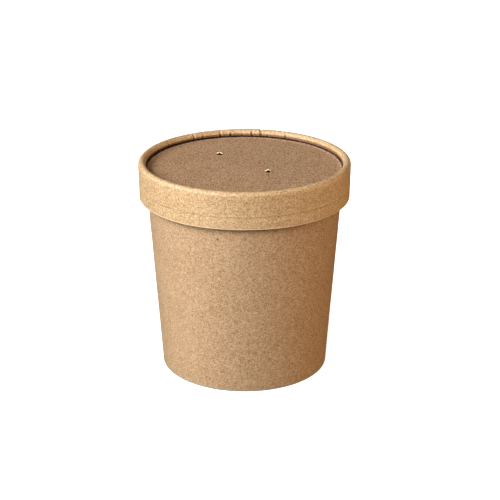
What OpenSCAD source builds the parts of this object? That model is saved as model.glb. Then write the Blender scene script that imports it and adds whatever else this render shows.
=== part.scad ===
// Kraft paper soup cup with its press-on lid.
// The axis of the cup is Z, and z = 0 is the table it stands on.
// Every piece is cut from flat board and rolled, folded or pressed, so each is drawn as
// the section of its board, turned about the axis.

/* [Cup] */
// Outside diameter of the rolled rim
rim_d = 98; // [94:0.5:120]
// Height of the rim above the table
cup_h = 99; // [70:1:160]
// Outside diameter at the foot
foot_d = 80.5; // [70:0.5:90]
// Thickness of the sidewall's board
wall_t = 0.4; // [0.3:0.05:0.5]
// Outside diameter of the bead that the rim is rolled into
bead_d = 2.3; // [2:0.1:3.5]
// How far round the bead the board is rolled, in degrees
bead_turn = 300; // [240:5:320]
// Width of the sidewall's overlap at its seam
wall_lap = 7; // [5:0.5:12]
// Where the sidewall's seam starts, in degrees from +X
wall_seam_at = 146; // [0:1:359]

/* [Base of the cup] */
// Height of the base disc above the table
base_lift = 8; // [7:0.5:12]
// Thickness of the base's board
base_t = 0.4; // [0.3:0.05:0.5]
// Outside radius of the bend between the base disc and its skirt
base_bend = 1; // [0.8:0.1:1.5]
// Height of the sidewall's edge where it is folded up inside the skirt
fold_h = 5; // [3:0.5:5.5]
// How far the bottom of that fold is pressed flat where it stands on the table
foot_press = 0.06; // [0.04:0.01:0.15]

/* [Lid] */
// Height of the lid, from its hem to its crest
lid_h = 17.8; // [15:0.1:24]
// Depth of the recess above the lid's disc
recess = 3.4; // [3:0.1:5]
// Thickness of the lid's board
lid_t = 0.4; // [0.3:0.05:0.5]
// Clearance between the hem and the rim of the cup
hem_fit = 0.33; // [0.3:0.01:0.5]
// Clearance between the lid's disc and the top of the rim
disc_fit = 0.2; // [0.15:0.05:0.5]
// How much wider in radius the band is at its crest than at its hem
band_flare = 0.23; // [0:0.01:0.5]
// Height of the hem that is folded up inside the band
hem_h = 6.1; // [4:0.1:8]
// Outside diameter of the curl along the crest
curl_d = 3.6; // [3:0.1:4.5]
// Depth of the score line pressed into the band above the hem
score_depth = 0.1; // [0.05:0.01:0.15]
// Radius of the tool that presses the score line
score_r = 0.2; // [0.16:0.01:0.3]
// Width of the band's overlap at its seam
band_lap = 7; // [5:0.5:12]
// Where the band's seam starts, in degrees from +X
band_seam_at = 82; // [0:1:359]
// Number of gathers pressed into the inner side of the curl
gather_n = 40; // [12:1:60]
// Depth of a gather
gather_depth = 0.14; // [0.05:0.01:0.2]
// Radius of a gather's groove
gather_r = 0.35; // [0.25:0.05:0.6]

/* [Disc of the lid] */
// Outside radius of the bend between the disc and its skirt
disc_bend = 1; // [0.8:0.1:1.2]
// Height of the disc's skirt above that bend
skirt_h = 1.4; // [1:0.1:1.6]
// Distance between the two steam vents
vent_spacing = 35.6; // [20:0.1:60]
// Direction of the line through both vents, in degrees from +X
vent_turn = -49; // [-90:1:90]
// Place of the middle of that line, sideways
vent_x = -0.6; // [-10:0.1:10]
// Place of the middle of that line, front to back
vent_y = 5.5; // [-10:0.1:10]
// Length of a vent's slit
vent_l = 2.4; // [1.5:0.1:4]
// Width of a vent's slit
vent_w = 0.7; // [0.4:0.1:1]

/* [Hidden] */
$fn = 120;

// Seal between two plies that are glued face to face
seal = 0.02;
// How far a cutting shape reaches past what it cuts
past = 1;
// Turn of the section between two points along a round bend, in degrees
bend_step = 12;

// Directions across and along a wall that leans outwards by a degrees
function across(a) = [cos(a), -sin(a)];
function along(a) = [sin(a), cos(a)];

// Lean of a wall between two round bends, given how far the second bend's centre lies
// outside the first one's, square to the wall
function lean(first, second, offset) =
    acos(offset / norm(second - first)) - atan2(second.y - first.y, second.x - first.x);

// Centre of a bend of radius r at height z that is pressed against the inside of a wall
function bend_in(face, a, r, z) =
    [(face * across(a) - r - seal + z * sin(a)) / cos(a), z];

// Sidewall: the fold round the base's skirt, and the bead
bead_r = bead_d / 2;
bead_c = [rim_d / 2 - bead_r, cup_h - bead_r];
fold_in = base_t / 2 + seal;
fold_r = fold_in + wall_t;
fold_c = [foot_d / 2 - fold_r, fold_r - foot_press];
wall_a = lean(fold_c, bead_c, fold_r + bead_r - wall_t);
wall_len = (bead_c - fold_c) * along(wall_a);
wall_in = fold_c + fold_in * across(wall_a);

// Base: its skirt hangs between the wall and the folded edge
base_c = bend_in(wall_in, wall_a, base_bend, base_lift + base_t - base_bend);
base_skirt = (base_c - fold_c) * along(wall_a);

// Lid band: the hem at its mouth, and the curl along its crest
disc_z = cup_h + disc_fit;
crest_z = disc_z + lid_t + recess;
hem_in = seal;
hem_r = hem_in + lid_t;
hem_c = [rim_d / 2 + hem_fit + hem_r, crest_z - lid_h + hem_r];
curl_r = curl_d / 2;
curl_c = [hem_c.x + hem_r + band_flare - curl_r, crest_z - curl_r];
band_a = lean(hem_c, curl_c, hem_r - curl_r);
band_len = (curl_c - hem_c) * along(band_a);
band_in = hem_c + hem_in * across(band_a);
tuck_h = curl_c.y - disc_z - lid_t - seal;

// Lid disc: its skirt stands inside the band, under the curl
disc_c = bend_in(band_in, band_a, disc_bend, disc_z + disc_bend);

// Points along a round bend of radius r, from one direction to another
function arc(centre, r, from, to) =
    let (steps = ceil(abs(to - from) / bend_step))
    [for (i = [0:steps]) let (a = from + (to - from) * i / steps) centre + r * [cos(a), sin(a)]];

// Turns a section about the cup's axis, for the width of a seam
module seam(at, width, r) {
    rotate([0, 0, at]) rotate_extrude(angle = width / r * 180 / PI) children();
}

// Section of the sidewall: its outer face from the folded edge up to the end of the bead,
// then its inner face back, and the table's plane that its fold is pressed flat on
module wall_section() {
    folded_edge = fold_c - fold_r * across(wall_a) + fold_h * along(wall_a);
    difference() {
        polygon(concat(
            [folded_edge],
            arc(fold_c, fold_r, 180 - wall_a, 360 - wall_a),
            arc(bead_c, bead_r - wall_t, 180 - wall_a, 180 - wall_a - bead_turn),
            arc(bead_c, bead_r, 180 - wall_a - bead_turn, 180 - wall_a),
            arc(fold_c, fold_in, 360 - wall_a, 180 - wall_a),
            [folded_edge + wall_t * across(wall_a)]
        ));
        translate([0, -past]) square([foot_d, past]);
    }
}

// Section of the ply that laps over the wall, bedded half way into it
module wall_lap_section() {
    foot = fold_c + fold_r * across(wall_a);
    top = foot + wall_len * along(wall_a);
    proud = wall_t * across(wall_a);
    polygon([foot - proud / 2, foot + proud, top + proud, top - proud / 2]);
}

// The sidewall, wound from one blank: folded in under the base and rolled over at the rim
module cup_wall() {
    color([0.71, 0.56, 0.39]) {
        rotate_extrude() wall_section();
        seam(wall_seam_at, wall_lap, foot_d / 2) wall_lap_section();
    }
}

// The base, a disc with its edge pressed down into a skirt
module cup_base() {
    skirt_edge = base_c - base_skirt * along(wall_a);
    color([0.68, 0.53, 0.37]) rotate_extrude() polygon(concat(
        [[0, base_lift + base_t]],
        arc(base_c, base_bend, 90, -wall_a),
        [skirt_edge + base_bend * across(wall_a), skirt_edge + (base_bend - base_t) * across(wall_a)],
        arc(base_c, base_bend - base_t, -wall_a, 90),
        [[0, base_lift]]
    ));
}

// Score line across the outer face of a ply that lies lift outside the band's own
module score_cut(lift) {
    face = hem_c + (hem_r + lift) * across(band_a) + hem_h * along(band_a);
    translate(face + (score_r - score_depth) * across(band_a)) circle(score_r);
}

// Section of the band: its outer face from the hem's edge, over the curl and down to the
// disc, then its inner face back
module band_section() {
    hem_edge = hem_c - hem_r * across(band_a) + hem_h * along(band_a);
    tuck_edge = curl_c - [curl_r, tuck_h];
    difference() {
        polygon(concat(
            [hem_edge],
            arc(hem_c, hem_r, 180 - band_a, 360 - band_a),
            arc(curl_c, curl_r, -band_a, 180),
            [tuck_edge, tuck_edge + [lid_t, 0]],
            arc(curl_c, curl_r - lid_t, 180, -band_a),
            arc(hem_c, hem_in, 360 - band_a, 180 - band_a),
            [hem_edge + lid_t * across(band_a)]
        ));
        score_cut(0);
    }
}

// Section of the ply that laps over the band, bedded half way into it
module band_lap_section() {
    tuck_edge = curl_c - [curl_r, tuck_h];
    difference() {
        polygon(concat(
            [hem_c + (hem_r - lid_t / 2) * across(band_a), hem_c + (hem_r + lid_t) * across(band_a)],
            arc(curl_c, curl_r + lid_t, -band_a, 180),
            [tuck_edge - [lid_t, 0], tuck_edge + [lid_t / 2, 0]],
            arc(curl_c, curl_r - lid_t / 2, 180, -band_a)
        ));
        score_cut(lid_t);
    }
}

module gathers() {
    groove_c = curl_c.x - curl_r + gather_depth - gather_r;
    for (i = [0:gather_n - 1]) {
        stray = sin(i * i * 77) / 3;
        rotate([0, 0, (i + stray) * 360 / gather_n])
            translate([groove_c, 0, disc_z + lid_t - past])
                cylinder(r = gather_r, h = recess + past);
    }
}

// The lid's band, a strip wound into a ring: hemmed at its mouth and rolled in at its crest
module lid_band() {
    color([0.76, 0.61, 0.44]) difference() {
        union() {
            rotate_extrude() band_section();
            seam(band_seam_at, band_lap, curl_c.x) band_lap_section();
        }
        gathers();
    }
}

// A slit with pointed ends
module slit() {
    arc_r = (vent_l * vent_l + vent_w * vent_w) / (4 * vent_w);
    intersection_for (side = [-1, 1])
        translate([0, side * (arc_r - vent_w / 2)]) circle(arc_r);
}

// The lid's disc, its edge pressed up into a skirt, with two slits for the steam
module lid_panel() {
    skirt_edge = disc_c + skirt_h * along(band_a);
    color([0.66, 0.52, 0.37]) difference() {
        rotate_extrude() polygon(concat(
            [[0, disc_z + lid_t]],
            arc(disc_c, disc_bend - lid_t, 270, 360 - band_a),
            [skirt_edge + (disc_bend - lid_t) * across(band_a), skirt_edge + disc_bend * across(band_a)],
            arc(disc_c, disc_bend, 360 - band_a, 270),
            [[0, disc_z]]
        ));
        for (side = [-1, 1])
            translate([vent_x, vent_y, disc_z - past]) rotate([0, 0, vent_turn])
                translate([side * vent_spacing / 2, 0]) rotate([0, 0, -vent_turn])
                    linear_extrude(lid_t + 2 * past) slit();
    }
}

cup_wall();
cup_base();
lid_band();
lid_panel();
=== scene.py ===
import math

import bmesh
import bpy
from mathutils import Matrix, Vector, noise


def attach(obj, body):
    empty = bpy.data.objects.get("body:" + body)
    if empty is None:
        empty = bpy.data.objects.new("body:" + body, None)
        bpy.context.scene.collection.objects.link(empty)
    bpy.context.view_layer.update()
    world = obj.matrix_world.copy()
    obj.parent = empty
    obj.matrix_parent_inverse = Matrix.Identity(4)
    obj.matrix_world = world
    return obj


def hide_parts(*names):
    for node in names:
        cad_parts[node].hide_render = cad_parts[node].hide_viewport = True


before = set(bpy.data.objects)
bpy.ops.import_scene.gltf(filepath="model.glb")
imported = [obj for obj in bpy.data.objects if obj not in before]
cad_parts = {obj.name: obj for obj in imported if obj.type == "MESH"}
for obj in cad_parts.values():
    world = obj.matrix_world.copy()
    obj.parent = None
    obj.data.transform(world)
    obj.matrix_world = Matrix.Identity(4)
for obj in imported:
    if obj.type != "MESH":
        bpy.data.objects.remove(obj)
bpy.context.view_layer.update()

# Base of the cup.
# A disc of kraft board whose edge is pressed down into a skirt. The skirt is glued inside
# the foot of the sidewall, so the disc stands a finger's width above the table.

MM = 0.001
board = 0.4 * MM
seal = 0.02 * MM

foot_radius = 40.25 * MM
foot_press = 0.06 * MM
fold_inside = board / 2 + seal
fold_outside = fold_inside + board
fold_centre = Vector((foot_radius - fold_outside, fold_outside - foot_press))

rim_radius = 49.0 * MM
rim_height = 99.0 * MM
bead_radius = 1.15 * MM
bead_centre = Vector((rim_radius - bead_radius, rim_height - bead_radius))

base_lift = 8.0 * MM
base_bend = 1.0 * MM
base_sag = 0.3 * MM
base_columns = 240


def across(lean):
    """Direction out of a wall that leans outwards, as radius and height."""
    return Vector((math.cos(lean), -math.sin(lean)))


def along(lean):
    """Direction up a wall that leans outwards, as radius and height."""
    return Vector((math.sin(lean), math.cos(lean)))


def lean_between(first, second, offset):
    """Lean of a wall between two round bends, the second set off square to the wall."""
    gap = second - first
    return math.acos(offset / gap.length) - math.atan2(gap.y, gap.x)


def bend_inside(face, lean, radius, height):
    """Centre of a bend at a given height that is pressed against the inside of a wall."""
    reach = face @ across(lean) - radius - seal + height * math.sin(lean)
    return Vector((reach / math.cos(lean), height))


def arc(centre, radius, start, stop, step=12.0):
    """Points along a round bend, from one direction to another in degrees."""
    steps = max(2, math.ceil(abs(stop - start) / step))
    turns = [math.radians(start + (stop - start) * i / steps) for i in range(steps + 1)]
    return [centre + radius * Vector((math.cos(turn), math.sin(turn))) for turn in turns]


def straight(start, stop, pieces):
    """Points along a straight stretch of board, both its ends left out."""
    return [start.lerp(stop, i / pieces) for i in range(1, pieces)]


def ease(share):
    """Smooth rise from 0 to 1."""
    share = min(max(share, 0.0), 1.0)
    return share * share * (3 - 2 * share)


def evenly(first, last, pieces):
    """Turns in degrees, from the first to the last in equal steps."""
    return [first + (last - first) * i / pieces for i in range(pieces + 1)]


def walk(outline):
    """Length of board along an outline."""
    return sum((b - a).length for a, b in zip(outline, outline[1:]))


def blank(turns, outline):
    """A flat blank of board: a column for each turn, a row for each point of the outline."""
    bm = bmesh.new()
    bmesh.ops.create_grid(bm, x_segments=len(turns) - 1, y_segments=len(outline) - 1, size=1.0)
    return bm


def wind(bm, turns, outline, lift=lambda turn, place: 0.0):
    """Winds a flat blank about the cup's axis. Its rows follow the outline of the board's
    outer face, and lift says how far the board stands off it. Its UV map keeps the place
    of each point on the flat blank, in metres."""
    flat = {}
    for vert in bm.verts:
        turn = turns[round((vert.co.x + 1) / 2 * (len(turns) - 1))]
        row = round((vert.co.y + 1) / 2 * (len(outline) - 1))
        way = outline[min(row + 1, len(outline) - 1)] - outline[max(row - 1, 0)]
        outwards = Vector((way.y, -way.x)).normalized()
        place = outline[row] + outwards * lift(turn, outline[row])
        angle = math.radians(turn)
        flat[vert] = (angle * outline[0].x, walk(outline[:row + 1]))
        vert.co = (place.x * math.cos(angle), place.x * math.sin(angle), place.y)
    layer = bm.loops.layers.uv.new("blank")
    for face in bm.faces:
        for loop in face.loops:
            loop[layer].uv = flat[loop.vert]


def close_ring(bm):
    """Joins the two ends of a disc that was wound all the way round, and its middle."""
    bmesh.ops.remove_doubles(bm, verts=bm.verts, dist=0.001 * MM)


def board_piece(bm, name, body, node, faces):
    """Gives a sheet the thickness of its board, with softly cut edges, and fixes it to its
    body. Its faces are the finishes of its outer side and, if it differs, its inner side."""
    mesh = bpy.data.meshes.new(name)
    bm.to_mesh(mesh)
    bm.free()
    mesh.shade_smooth()
    for face in faces:
        mesh.materials.append(face)
    piece = bpy.data.objects.new(name, mesh)
    bpy.context.scene.collection.objects.link(piece)
    ply = piece.modifiers.new("board", "SOLIDIFY")
    ply.thickness = board
    ply.offset = -1.0
    ply.material_offset = len(faces) - 1
    edge = piece.modifiers.new("cut edge", "BEVEL")
    edge.width = 0.06 * MM
    edge.segments = 2
    edge.limit_method = "ANGLE"
    edge.angle_limit = math.radians(60)
    edge.harden_normals = True
    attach(piece, body)
    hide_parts(node)
    return piece


class Shade:
    """A socket in a material's nodes, with the arithmetic that a finish is written in."""

    def __init__(self, tree, socket=None):
        self.tree = tree
        self.socket = socket

    def make(self, kind, sockets, output=0, stops=(), **settings):
        """Makes a node: its settings first, then the values or links of its sockets."""
        node = self.tree.nodes.new(kind)
        for name, value in settings.items():
            setattr(node, name, value)
        for i, (place, level) in enumerate(stops):
            element = node.color_ramp.elements[i]
            element.position = place
            element.color = (level, level, level, 1)
        for name, value in sockets.items():
            if isinstance(value, Shade):
                self.tree.links.new(value.socket, node.inputs[name])
            else:
                node.inputs[name].default_value = value
        return Shade(self.tree, node.outputs[output] if node.outputs else None)

    def maths(self, operation, first, second):
        return self.make("ShaderNodeMath", {0: first, 1: second}, operation=operation)

    def tint(self, first, second):
        """Colour that goes from the first to the second as this value goes from 0 to 1."""
        return self.make("ShaderNodeMix", {0: self, 6: first, 7: second}, output=2, data_type="RGBA")

    def __add__(self, other):
        return self.maths("ADD", self, other)

    def __radd__(self, other):
        return self.maths("ADD", other, self)

    def __sub__(self, other):
        return self.maths("SUBTRACT", self, other)

    def __rsub__(self, other):
        return self.maths("SUBTRACT", other, self)

    def __mul__(self, other):
        return self.maths("MULTIPLY", self, other)

    def __rmul__(self, other):
        return self.maths("MULTIPLY", other, self)


def kraft(name, colour, roughness=0.5, gloss=0.6, grain=1.0, wound=False, coat=0.0, painted_light=(), flecks=()):
    """Brown kraft board, mottled by the fibres in its face, with a few dark flecks of bark.
    The fibres run along a wound blank, or along X on a disc. Painted highlights on folds
    and lips and painted shade in crevices are bands of another colour, each measured up the
    cup or along the blank, with its middle, its reach and its colour. A large fleck has a place and a size."""
    material = bpy.data.materials.new(name)
    material.use_nodes = True
    material.node_tree.nodes.clear()
    start = Shade(material.node_tree)
    place = start.make("ShaderNodeTexCoord", {}, output=3)
    in_mm = start.make("ShaderNodeMapping", {"Vector": place, "Scale": (1000, 1000, 1000)})

    def cloud(where, scale, detail, rough=0.55):
        sockets = {"Vector": where, "Scale": scale, "Detail": detail, "Roughness": rough}
        return start.make("ShaderNodeTexNoise", sockets)

    sheet = start.make("ShaderNodeUVMap", {}, uv_map="blank")
    lie = sheet if wound else place
    on_fibres = start.make("ShaderNodeMapping", {"Vector": lie, "Scale": (450, 1700, 1000)})

    grit = cloud(in_mm, 2.0, 3.0)
    fine = cloud(in_mm, 1.2, 2.0, 0.6)
    mottle = cloud(in_mm, 0.35, 2.0)
    patch = cloud(in_mm, 0.05, 2.0)
    fibres = cloud(on_fibres, 1.0, 3.0, 0.6)
    spots = (grit - 0.5) * 2.6 + (fine - 0.5) * 1.9 + (fibres - 0.5) * 0.9
    clouds = (mottle - 0.5) * 0.35 + (patch - 0.5) * 0.25
    tone = 0.5 + grain * (spots + clouds)
    contrast = (0.36, 0.45, 0.62)
    pale = [value * (1 + spread) for value, spread in zip(colour, contrast)] + [1.0]
    deep = [value * (1 - spread) for value, spread in zip(colour, contrast)] + [1.0]
    bark = start.make(
        "ShaderNodeValToRGB", {"Fac": cloud(in_mm, 0.8, 1.0)}, stops=[(0.755, 0.0), (0.785, 1.0)]
    )
    bark_colour = [0.45 * value for value in colour] + [1.0]
    paint = (bark * 0.6).tint(tone.tint(deep, pale), bark_colour)
    ways = {
        "up": start.make("ShaderNodeSeparateXYZ", {"Vector": place}, output=2),
        "along": start.make("ShaderNodeSeparateXYZ", {"Vector": sheet}, output=1),
    }
    # Each band is painted light, a painted highlight or painted shade laid over the board's colour.
    for way, middle, reach, painted_colour in painted_light:
        off = start.maths("ABSOLUTE", ways[way] - middle, 0.0)
        painted_mask = 3 - off * (3 / reach)
        paint = (painted_mask * (0.5 + tone)).tint(paint, [*painted_colour, 1.0])
    for spot, size in flecks:
        far = start.make("ShaderNodeVectorMath", {0: place, 1: spot}, output=1, operation="DISTANCE")
        paint = (3 - far * (3 / size)).tint(paint, [0.2 * value for value in colour] + [1.0])
    relief = grit * 0.4 + fine * 0.6 + fibres * 0.6 + mottle * 0.6
    bump = start.make("ShaderNodeBump", {"Strength": 0.4, "Distance": 0.05 * MM, "Height": relief})
    surface = start.make(
        "ShaderNodeBsdfPrincipled",
        {
            "Base Color": paint,
            "Roughness": roughness + (fine - 0.5) * 0.25,
            "Normal": bump,
            "Specular IOR Level": gloss,
            "Coat Weight": coat,
            "Coat Roughness": 0.25,
        },
    )
    start.make("ShaderNodeOutputMaterial", {"Surface": surface})
    return material


cup_lining = kraft("cup lining", (0.36, 0.22, 0.12), roughness=0.45, grain=0.6, coat=0.35)
base_kraft = kraft("base kraft", (0.386, 0.242, 0.131))

wall_lean = lean_between(fold_centre, bead_centre, fold_outside + bead_radius - board)
wall_inner = fold_centre + fold_inside * across(wall_lean)
base_centre = bend_inside(wall_inner, wall_lean, base_bend, base_lift + board - base_bend)
skirt_length = (base_centre - fold_centre) @ along(wall_lean)
skirt_top = base_centre + base_bend * across(wall_lean)
skirt_edge = skirt_top - skirt_length * along(wall_lean)
base_corner = arc(base_centre, base_bend, -math.degrees(wall_lean), 90)
base_middle = Vector((0, base_lift + board))
base_outline = [skirt_edge] + straight(skirt_edge, skirt_top, 4) + base_corner
base_outline += straight(base_corner[-1], base_middle, 14) + [base_middle]

base_turns = evenly(0, 360, base_columns)
base = blank(base_turns, base_outline)
wind(base, base_turns, base_outline)
close_ring(base)
for vert in base.verts:
    vert.co.z -= base_sag * ease(1 - vert.co.xy.length / base_centre.x)
board_piece(base, "base_disc", "cup", "cup_base", [cup_lining, base_kraft])

# Sidewall of the cup.
# One blank of kraft board, wound into a cone and glued where its end laps over its start.
# Its foot is folded in and up over the base's skirt, and its top is rolled out into a bead.

wall_columns = 400
wall_seam_at = 146.0
wall_lap = math.degrees(7.0 * MM / foot_radius)
wall_ramp = math.degrees(2.5 * MM / foot_radius)
fold_height = 5.0 * MM
bead_turn = 300.0
lap_fade = 2.0 * MM
stiff_end = 12 * MM
wall_swell = 0.10 * MM
wall_ripple = 0.03 * MM

wall_turn = math.degrees(wall_lean)
folded_edge = fold_centre - fold_outside * across(wall_lean) + fold_height * along(wall_lean)
foot_fold = arc(fold_centre, fold_outside, 180 - wall_turn, 360 - wall_turn)
bead_roll = arc(bead_centre, bead_radius - board, 180 - wall_turn, 180 - wall_turn - bead_turn, 15)
wall_foot = [folded_edge] + straight(folded_edge, foot_fold[0], 4) + foot_fold
wall_outline = wall_foot + straight(foot_fold[-1], bead_roll[0], 30) + bead_roll

# Painted highlight: a pale grey line along the lower edge of the foot fold.
painted_foot_highlight = ("along", walk(wall_foot) - 0.2 * MM, 1.2 * MM, (0.34, 0.28, 0.20))
bark_fleck = ((-12.26 * MM, -44.09 * MM, 78.87 * MM), 0.55 * MM)
cup_kraft = kraft(
    "cup kraft", (0.38, 0.24, 0.13), grain=0.92, wound=True, painted_light=[painted_foot_highlight], flecks=[bark_fleck]
)


def wall_lift(turn, place):
    """How far the end of the wall's blank stands off to lap over its start."""
    seam_end = wall_seam_at + 360
    off_fold = place - fold_centre
    if off_fold @ across(wall_lean) < 0 and place.y < rim_height / 2:
        return 0.0
    over = ease((turn - seam_end + wall_ramp) / wall_ramp)
    return board * over * ease(off_fold @ along(wall_lean) / lap_fade)


wall_turns = evenly(wall_seam_at, wall_seam_at + 360 + wall_lap, wall_columns)
wall = blank(wall_turns, wall_outline)
notch_x = 2 * wall_lap / (360 + wall_lap) - 1
notch_y = 2 * (len(wall_foot) + 1) / (len(wall_outline) - 1) - 1
notch = []
for face in wall.faces:
    centre = face.calc_center_median()
    if centre.x < notch_x and centre.y < notch_y:
        notch.append(face)
bmesh.ops.delete(wall, geom=notch, context="FACES")
wind(wall, wall_turns, wall_outline, wall_lift)
for vert in wall.verts:
    loose = ease(vert.co.z / stiff_end) * ease((rim_height - vert.co.z) / stiff_end)
    swell = noise.noise(vert.co * 28) * wall_swell + noise.noise(vert.co * 90) * wall_ripple
    vert.co.xy *= 1 - abs(swell) * loose / vert.co.xy.length
    vert.co.z = max(vert.co.z, 0.0)
board_piece(wall, "sidewall", "cup", "cup_wall", [cup_kraft, cup_lining])

# Disc of the lid.
# A pressed disc of kraft board that sags a little, its edge turned up into a low skirt that is
# glued inside the band. Two slits are pierced through it for the steam, their far lips raised.

lid_height = 17.8 * MM
recess = 3.4 * MM
disc_fit = 0.2 * MM
hem_fit = 0.33 * MM
band_flare = 0.23 * MM
curl_radius = 1.8 * MM
disc_bend = 1.0 * MM
disc_skirt = 1.4 * MM
disc_sag = 0.45 * MM
sag_slope = 1.5 * MM
disc_columns = 360
vent_reach = 2.2 * MM
finer_reach = 3.4 * MM
longest_edge = 0.6 * MM
lip_start = 0.03 * MM

disc_bottom = rim_height + disc_fit
disc_top = disc_bottom + board
crest = disc_top + recess
hem_radius = seal + board
hem_centre = Vector((rim_radius + hem_fit + hem_radius, crest - lid_height + hem_radius))
curl_centre = Vector((hem_centre.x + hem_radius + band_flare - curl_radius, crest - curl_radius))
band_lean = lean_between(hem_centre, curl_centre, hem_radius - curl_radius)
band_inner = hem_centre + seal * across(band_lean)
disc_centre = bend_inside(band_inner, band_lean, disc_bend, disc_bottom + disc_bend)

band_turn = math.degrees(band_lean)
disc_corner = arc(disc_centre, disc_bend - board, 360 - band_turn, 270)
disc_edge = disc_corner[0] + disc_skirt * along(band_lean)
disc_middle = Vector((0, disc_top))
disc_rim = [disc_edge] + straight(disc_edge, disc_corner[0], 3) + disc_corner
disc_outline = disc_rim + straight(disc_corner[-1], disc_middle, 36) + [disc_middle]

# Painted highlight: the tops of the raised vent lips are painted pale, as if lit.
painted_lip_highlight = ("up", disc_top - disc_sag + 1.0 * MM, 0.9 * MM, (0.75, 0.58, 0.42))
# Painted shade: a near-black ring on the disc under the curl stands in for the crevice's shadow.
painted_crevice_shade = ("along", walk(disc_rim) + 1.4 * MM, 1.9 * MM, (0.03, 0.008, 0.002))
# The disc's board is darker than the band's: partly a greyer board, partly painted shade on the top of the
# lid.
disc_kraft = kraft(
    "disc kraft", (0.292, 0.172, 0.091), roughness=0.8, gloss=0.25, grain=1.8,
    painted_light=[painted_lip_highlight, painted_crevice_shade],
)

disc_turns = evenly(0, 360, disc_columns)
disc = blank(disc_turns, disc_outline)
wind(disc, disc_turns, disc_outline)
close_ring(disc)


def near_vent(bm, middle, reach):
    """The level faces of the disc about a vent."""
    found = []
    for face in bm.faces:
        centre = face.calc_center_median()
        if (centre.xy - middle).length < reach and abs(centre.z - disc_top) < 0.1 * MM:
            found.append(face)
    return found


def pierce(bm, middle, corners):
    """Cuts a slit whose corners go round anticlockwise, and opens it."""
    for i, corner in enumerate(corners):
        side = corners[(i + 1) % len(corners)] - corner
        faces = near_vent(bm, middle, vent_reach)
        geom = list({item for face in faces for item in (face, *face.edges, *face.verts)})
        start = (*(middle + corner), 0)
        plane = (side.y, -side.x, 0)
        bmesh.ops.bisect_plane(bm, geom=geom, dist=1e-7, plane_co=start, plane_no=plane)
    inside = []
    for face in near_vent(bm, middle, vent_reach):
        point = face.calc_center_median().xy - middle
        ways = zip(corners, corners[1:] + corners[:1])
        if all((to - corner).cross(point - corner) > 0 for corner, to in ways):
            inside.append(face)
    bmesh.ops.delete(bm, geom=inside, context="FACES")


def raise_lip(bm, middle, ends, height, width):
    """Bends the board up along the far side of a slit, most halfway between two points."""
    start = Vector(ends[0]) * MM
    line = Vector(ends[1]) * MM - start
    for vert in bm.verts:
        point = vert.co.xy - middle - start
        share = min(max(point.dot(line) / line.length_squared, 0.0), 1.0)
        away = (point - line * share).length
        beside = line.normalized().cross(point) > -lip_start
        if beside and away < width and abs(vert.co.z - disc_top) < 2 * MM:
            vert.co.z += height * ease(1 - away / width) * math.sin(math.pi * share) ** 0.6


vents = [Vector((-12.1 * MM, 18.9 * MM)), Vector((10.9 * MM, -8.0 * MM))]
for middle in vents:
    edges = {edge for face in near_vent(disc, middle, finer_reach) for edge in face.edges}
    rungs = [edge for edge in edges if edge.calc_length() > longest_edge]
    bmesh.ops.subdivide_edges(disc, edges=rungs, cuts=5, use_grid_fill=True)

# The corners and lips of the slits are in millimetres from the middles of their vents.
slit_one = [(-1.75, 0.25), (-0.8, -1.2), (1.0, -1.6), (1.75, -0.2)]
slit_two = [(-1.6, 0.1), (-0.7, -0.8), (0.4, -1.6), (1.2, -1.2), (1.6, 0.1)]
pierce(disc, vents[0], [Vector(corner) * MM for corner in slit_one])
pierce(disc, vents[1], [Vector(corner) * MM for corner in slit_two])
raise_lip(disc, vents[0], ((-1.75, 0.25), (1.75, -0.2)), 1.0 * MM, 2.0 * MM)
raise_lip(disc, vents[1], ((-1.6, 0.1), (0.2, 0.1)), 0.6 * MM, 1.3 * MM)
raise_lip(disc, vents[1], ((-0.5, 0.1), (1.6, 0.1)), 1.15 * MM, 1.8 * MM)
for vert in disc.verts:
    inwards = (curl_centre.x - curl_radius - vert.co.xy.length) / sag_slope
    vert.co.z -= disc_sag * ease(inwards)
board_piece(disc, "lid_disc", "lid", "lid_panel", [disc_kraft])

# Band of the lid.
# A strip of kraft board wound into a ring and glued at its lap. Its mouth is hemmed inwards
# under a score line, and its top is curled inwards, gathering as it goes, down on the disc.

band_columns = 560
band_seam_at = 81.0
band_lap = math.degrees(7.0 * MM / curl_centre.x)
band_ramp = math.degrees(2.0 * MM / curl_centre.x)
hem_height = 6.1 * MM
score_depth = 0.08 * MM
score_ridge = 0.05 * MM
groove_at = -0.3 * MM
groove_below = 1.3 * MM
groove_above = 0.5 * MM
ridge_at = 0.4 * MM
ridge_reach = 0.5 * MM
score_spread = [share * MM for share in (-1.6, -1.0, -0.6, -0.3, 0.0, 0.2, 0.4, 0.6, 0.9)]
crevice = 0.4 * MM
crevice_at_left = 0.35 * MM
small_gathers = 46
gather_width = 0.36 * MM
gather_bulge = 0.95 * MM
hem_wave = 0.16 * MM
band_swell = 0.08 * MM
curl_edge = 0.6 * MM

hem_edge = hem_centre - hem_radius * across(band_lean) + hem_height * along(band_lean)
hem_roll = arc(hem_centre, hem_radius, 180 - band_turn, 360 - band_turn, 20)
curl = arc(curl_centre, curl_radius, -band_turn, 180)
tuck_edge = Vector((curl_centre.x - curl_radius, disc_top + crevice))
score = hem_roll[-1] + (hem_height - hem_radius) * along(band_lean)
score_rows = [score + up * along(band_lean) for up in score_spread]
band_outline = [hem_edge] + straight(hem_edge, hem_roll[0], 3) + hem_roll
band_outline += straight(hem_roll[-1], score_rows[0], 3) + score_rows
band_outline += straight(score_rows[-1], curl[0], 6) + curl
band_outline += straight(curl[-1], tuck_edge, 3) + [tuck_edge]

hem_length = walk([hem_edge, *hem_roll])
# Painted highlight: a pale line along the hem's bottom fold.
painted_hem_highlight = ("along", hem_length - 0.1 * MM, 0.4 * MM, (0.62, 0.44, 0.27))
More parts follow.
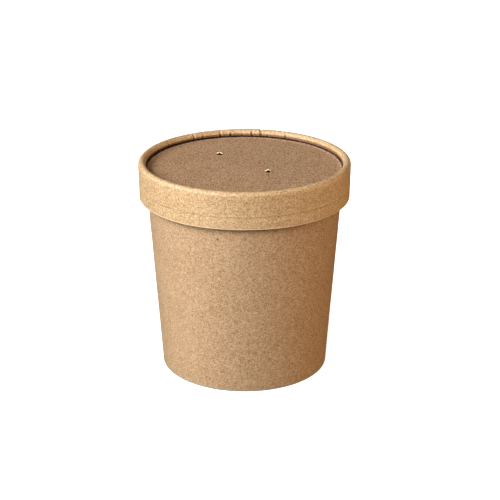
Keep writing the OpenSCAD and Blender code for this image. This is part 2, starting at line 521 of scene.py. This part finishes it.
# Painted shade: the band darkens towards the tucked edge of its curl, in the crevice over the disc.
painted_tuck_shade = ("along", walk(band_outline), 1.3 * MM, (0.16, 0.07, 0.025))
band_kraft = kraft(
    "band kraft", (0.42, 0.27, 0.135), roughness=0.6, wound=True, painted_light=[painted_hem_highlight, painted_tuck_shade]
)


def band_lift(turn, place):
    """How far the start of the band's strip stands off to lap over its end. The curl is
    pressed half a board inwards at the lap, and the score is a groove under a low ridge."""
    lap = board * ease((band_seam_at + band_lap + band_ramp - turn) / band_ramp)
    if place.y > curl_centre.y or place.x < hem_centre.x and place.y > disc_top:
        pressed = ease((turn - band_seam_at - 360 + band_ramp) / band_ramp)
        return lap / 2 - board / 2 * pressed
    if place.x < hem_centre.x:
        return lap
    up = (place - score) @ along(band_lean)
    off = up - groove_at
    groove = ease(1 + off / groove_below) if off < 0 else ease(1 - off / groove_above)
    ridge = ease(1 - abs(up - ridge_at) / ridge_reach)
    return lap - score_depth * groove + score_ridge * ridge


# Each gather has its place round the lid in degrees, its depth, and how far up it runs.
gathers = [
    (104.8, 0.80 * MM, 1.0), (142.6, 0.55 * MM, 0.8), (122.3, 0.75 * MM, 1.0), (116.0, 0.75 * MM, 0.6),
    (98.4, 0.80 * MM, 0.6), (85.4, 0.65 * MM, 0.8), (79.8, 0.60 * MM, 0.9), (64.2, 0.75 * MM, 0.7),
]
# Small ones fill the rest of the way round, uneven in place, depth and height.
listed = [at for at, depth, up in gathers]
for i in range(small_gathers):
    at = (i + 0.35 * math.sin(i * i * 1.3)) * 360 / small_gathers
    if all(abs((at - other + 180) % 360 - 180) > 4 for other in listed):
        gathers.append((at, (0.24 + 0.14 * math.sin(i * 2.6)) * MM, 0.65 + 0.3 * math.sin(i * 1.7)))


def gathered(angle, height):
    """How far the curl is pressed outwards by its gathers, at a place round the lid."""
    pressed = 0.0
    for at, depth, up in gathers:
        off = math.radians(abs((angle - at + 180) % 360 - 180)) * curl_centre.x
        bulge = 0.25 * math.exp(-(((off - gather_bulge) / gather_width) ** 2))
        crease = math.exp(-off / gather_width) - bulge
        pressed += depth * crease * ease((up - height / recess) / 0.3 + 0.5)
    return pressed


close = [share * gather_width for share in (-3, -2, -1.2, -0.6, 0, 0.6, 1.2, 2, 3)]
band_turns = evenly(band_seam_at, band_seam_at + 360 + band_lap, band_columns)
for at, depth, up in gathers:
    beside = close if depth > 0.2 * MM else close[1:-1]
    for turn in (at, at + 360):
        band_turns += [turn + math.degrees(off / curl_centre.x) for off in beside]
band_end = band_seam_at + 360 + band_lap
band_turns = sorted(turn for turn in band_turns if band_seam_at <= turn <= band_end)
band_turns = [a for a, b in zip(band_turns, band_turns[1:]) if b - a > 0.1] + band_turns[-1:]

band = blank(band_turns, band_outline)
wind(band, band_turns, band_outline, band_lift)
for vert in band.verts:
    radius = vert.co.xy.length
    angle = math.degrees(math.atan2(vert.co.y, vert.co.x))
    inwards = ease((curl_centre.x + curl_edge - radius) / (curl_radius + curl_edge))
    if inwards > 0 and vert.co.z > disc_top:
        vert.co.xy *= 1 + gathered(angle, vert.co.z - disc_top) * inwards / radius
        down = ease((curl_centre.y - vert.co.z) / (curl_centre.y - tuck_edge.y))
        vert.co.z += crevice_at_left * (0.5 - 0.5 * math.cos(math.radians(angle))) * down
    wave = noise.noise(vert.co.xy.normalized().to_3d() * 4.3)
    low = ease((score.y - vert.co.z) / hem_height)
    vert.co.z += hem_wave * wave * low
    swell = abs(noise.noise(vert.co * 40)) * band_swell
    vert.co.xy *= 1 - swell / radius
board_piece(band, "lid_band_ring", "lid", "lid_band", [band_kraft])

# Studio.
# A pale floor that glows a little, two soft key lights to the left of the camera, weaker warm
# ones in front, on the right and behind, and a low warm light from all round.

floor_gap = 0.1 * MM
floor_radius = 12.0
lamp_wide = 0.6
lamp_away = 1.2

floor_mesh = bpy.data.meshes.new("floor")
floor_shape = bmesh.new()
bmesh.ops.create_circle(floor_shape, cap_ends=True, segments=64, radius=floor_radius)
bmesh.ops.translate(floor_shape, verts=floor_shape.verts, vec=(0, 0, -floor_gap))
floor_shape.to_mesh(floor_mesh)
floor_shape.free()
floor = bpy.data.objects.new("floor", floor_mesh)
floor_paint = bpy.data.materials.new("floor paint")
floor_paint.use_nodes = True
floor_surface = floor_paint.node_tree.nodes["Principled BSDF"]
floor_surface.inputs["Base Color"].default_value = (0.8, 0.8, 0.8, 1)
floor_surface.inputs["Roughness"].default_value = 0.9
floor_surface.inputs["Emission Color"].default_value = (1.0, 1.0, 1.0, 1)
floor_surface.inputs["Emission Strength"].default_value = 0.85
floor_mesh.materials.append(floor_paint)
bpy.context.scene.collection.objects.link(floor)
floor.visible_diffuse = False
floor.visible_glossy = False

world = bpy.data.worlds.new("studio")
world.use_nodes = True
world.node_tree.nodes["Background"].inputs["Color"].default_value = (1.0, 0.71, 0.46, 1)
world.node_tree.nodes["Background"].inputs["Strength"].default_value = 0.04
bpy.context.scene.world = world
bpy.context.scene.view_settings.view_transform = "Standard"


def aim(item, target):
    """Turns a light or a camera to look at a point."""
    item.rotation_euler = (Vector(target) - item.location).to_track_quat("-Z", "Y").to_euler()


def softbox(name, tall, azimuth, elevation, height, power, colour):
    """A softbox aimed at the cup's axis, at an azimuth from the camera's side."""
    light = bpy.data.lights.new(name, "AREA")
    light.shape = "RECTANGLE"
    light.size = lamp_wide
    light.size_y = tall
    light.energy = power
    light.color = colour
    lamp = bpy.data.objects.new(name, light)
    level = lamp_away * math.cos(math.radians(elevation))
    turn = math.radians(azimuth)
    rise = lamp_away * math.sin(math.radians(elevation))
    lamp.location = (level * math.sin(turn), -level * math.cos(turn), height + rise)
    aim(lamp, (0, 0, height))
    bpy.context.scene.collection.objects.link(lamp)


softbox("left key", tall=0.6, azimuth=-80, elevation=30, height=0.06, power=16.0, colour=(0.94, 0.95, 1.0))
softbox("front key", tall=0.6, azimuth=-40, elevation=30, height=0.06, power=20.2, colour=(0.84, 0.94, 1.0))
softbox("front fill", tall=0.6, azimuth=0, elevation=30, height=0.06, power=7.7, colour=(1.0, 0.77, 0.58))
softbox("right fill", tall=0.12, azimuth=90, elevation=3, height=0.06, power=8.9, colour=(1.0, 0.68, 0.38))
softbox("back fill", tall=0.08, azimuth=180, elevation=0, height=0.05, power=6.5, colour=(1.0, 0.86, 0.70))

# Camera.
# It stands in front of the cup and looks down on it a little, with a long lens.

view_height = 0.0494
view_distance = 0.7414
view_down = math.radians(21.77)
lens = bpy.data.cameras.new("camera")
lens.lens = 109.67
lens.shift_x = 0.0110
lens.shift_y = 0.0273
camera = bpy.data.objects.new("camera", lens)
level = view_distance * math.cos(view_down)
camera.location = (0, -level, view_height + view_distance * math.sin(view_down))
aim(camera, (0, 0, view_height))
bpy.context.scene.collection.objects.link(camera)
bpy.context.scene.camera = camera
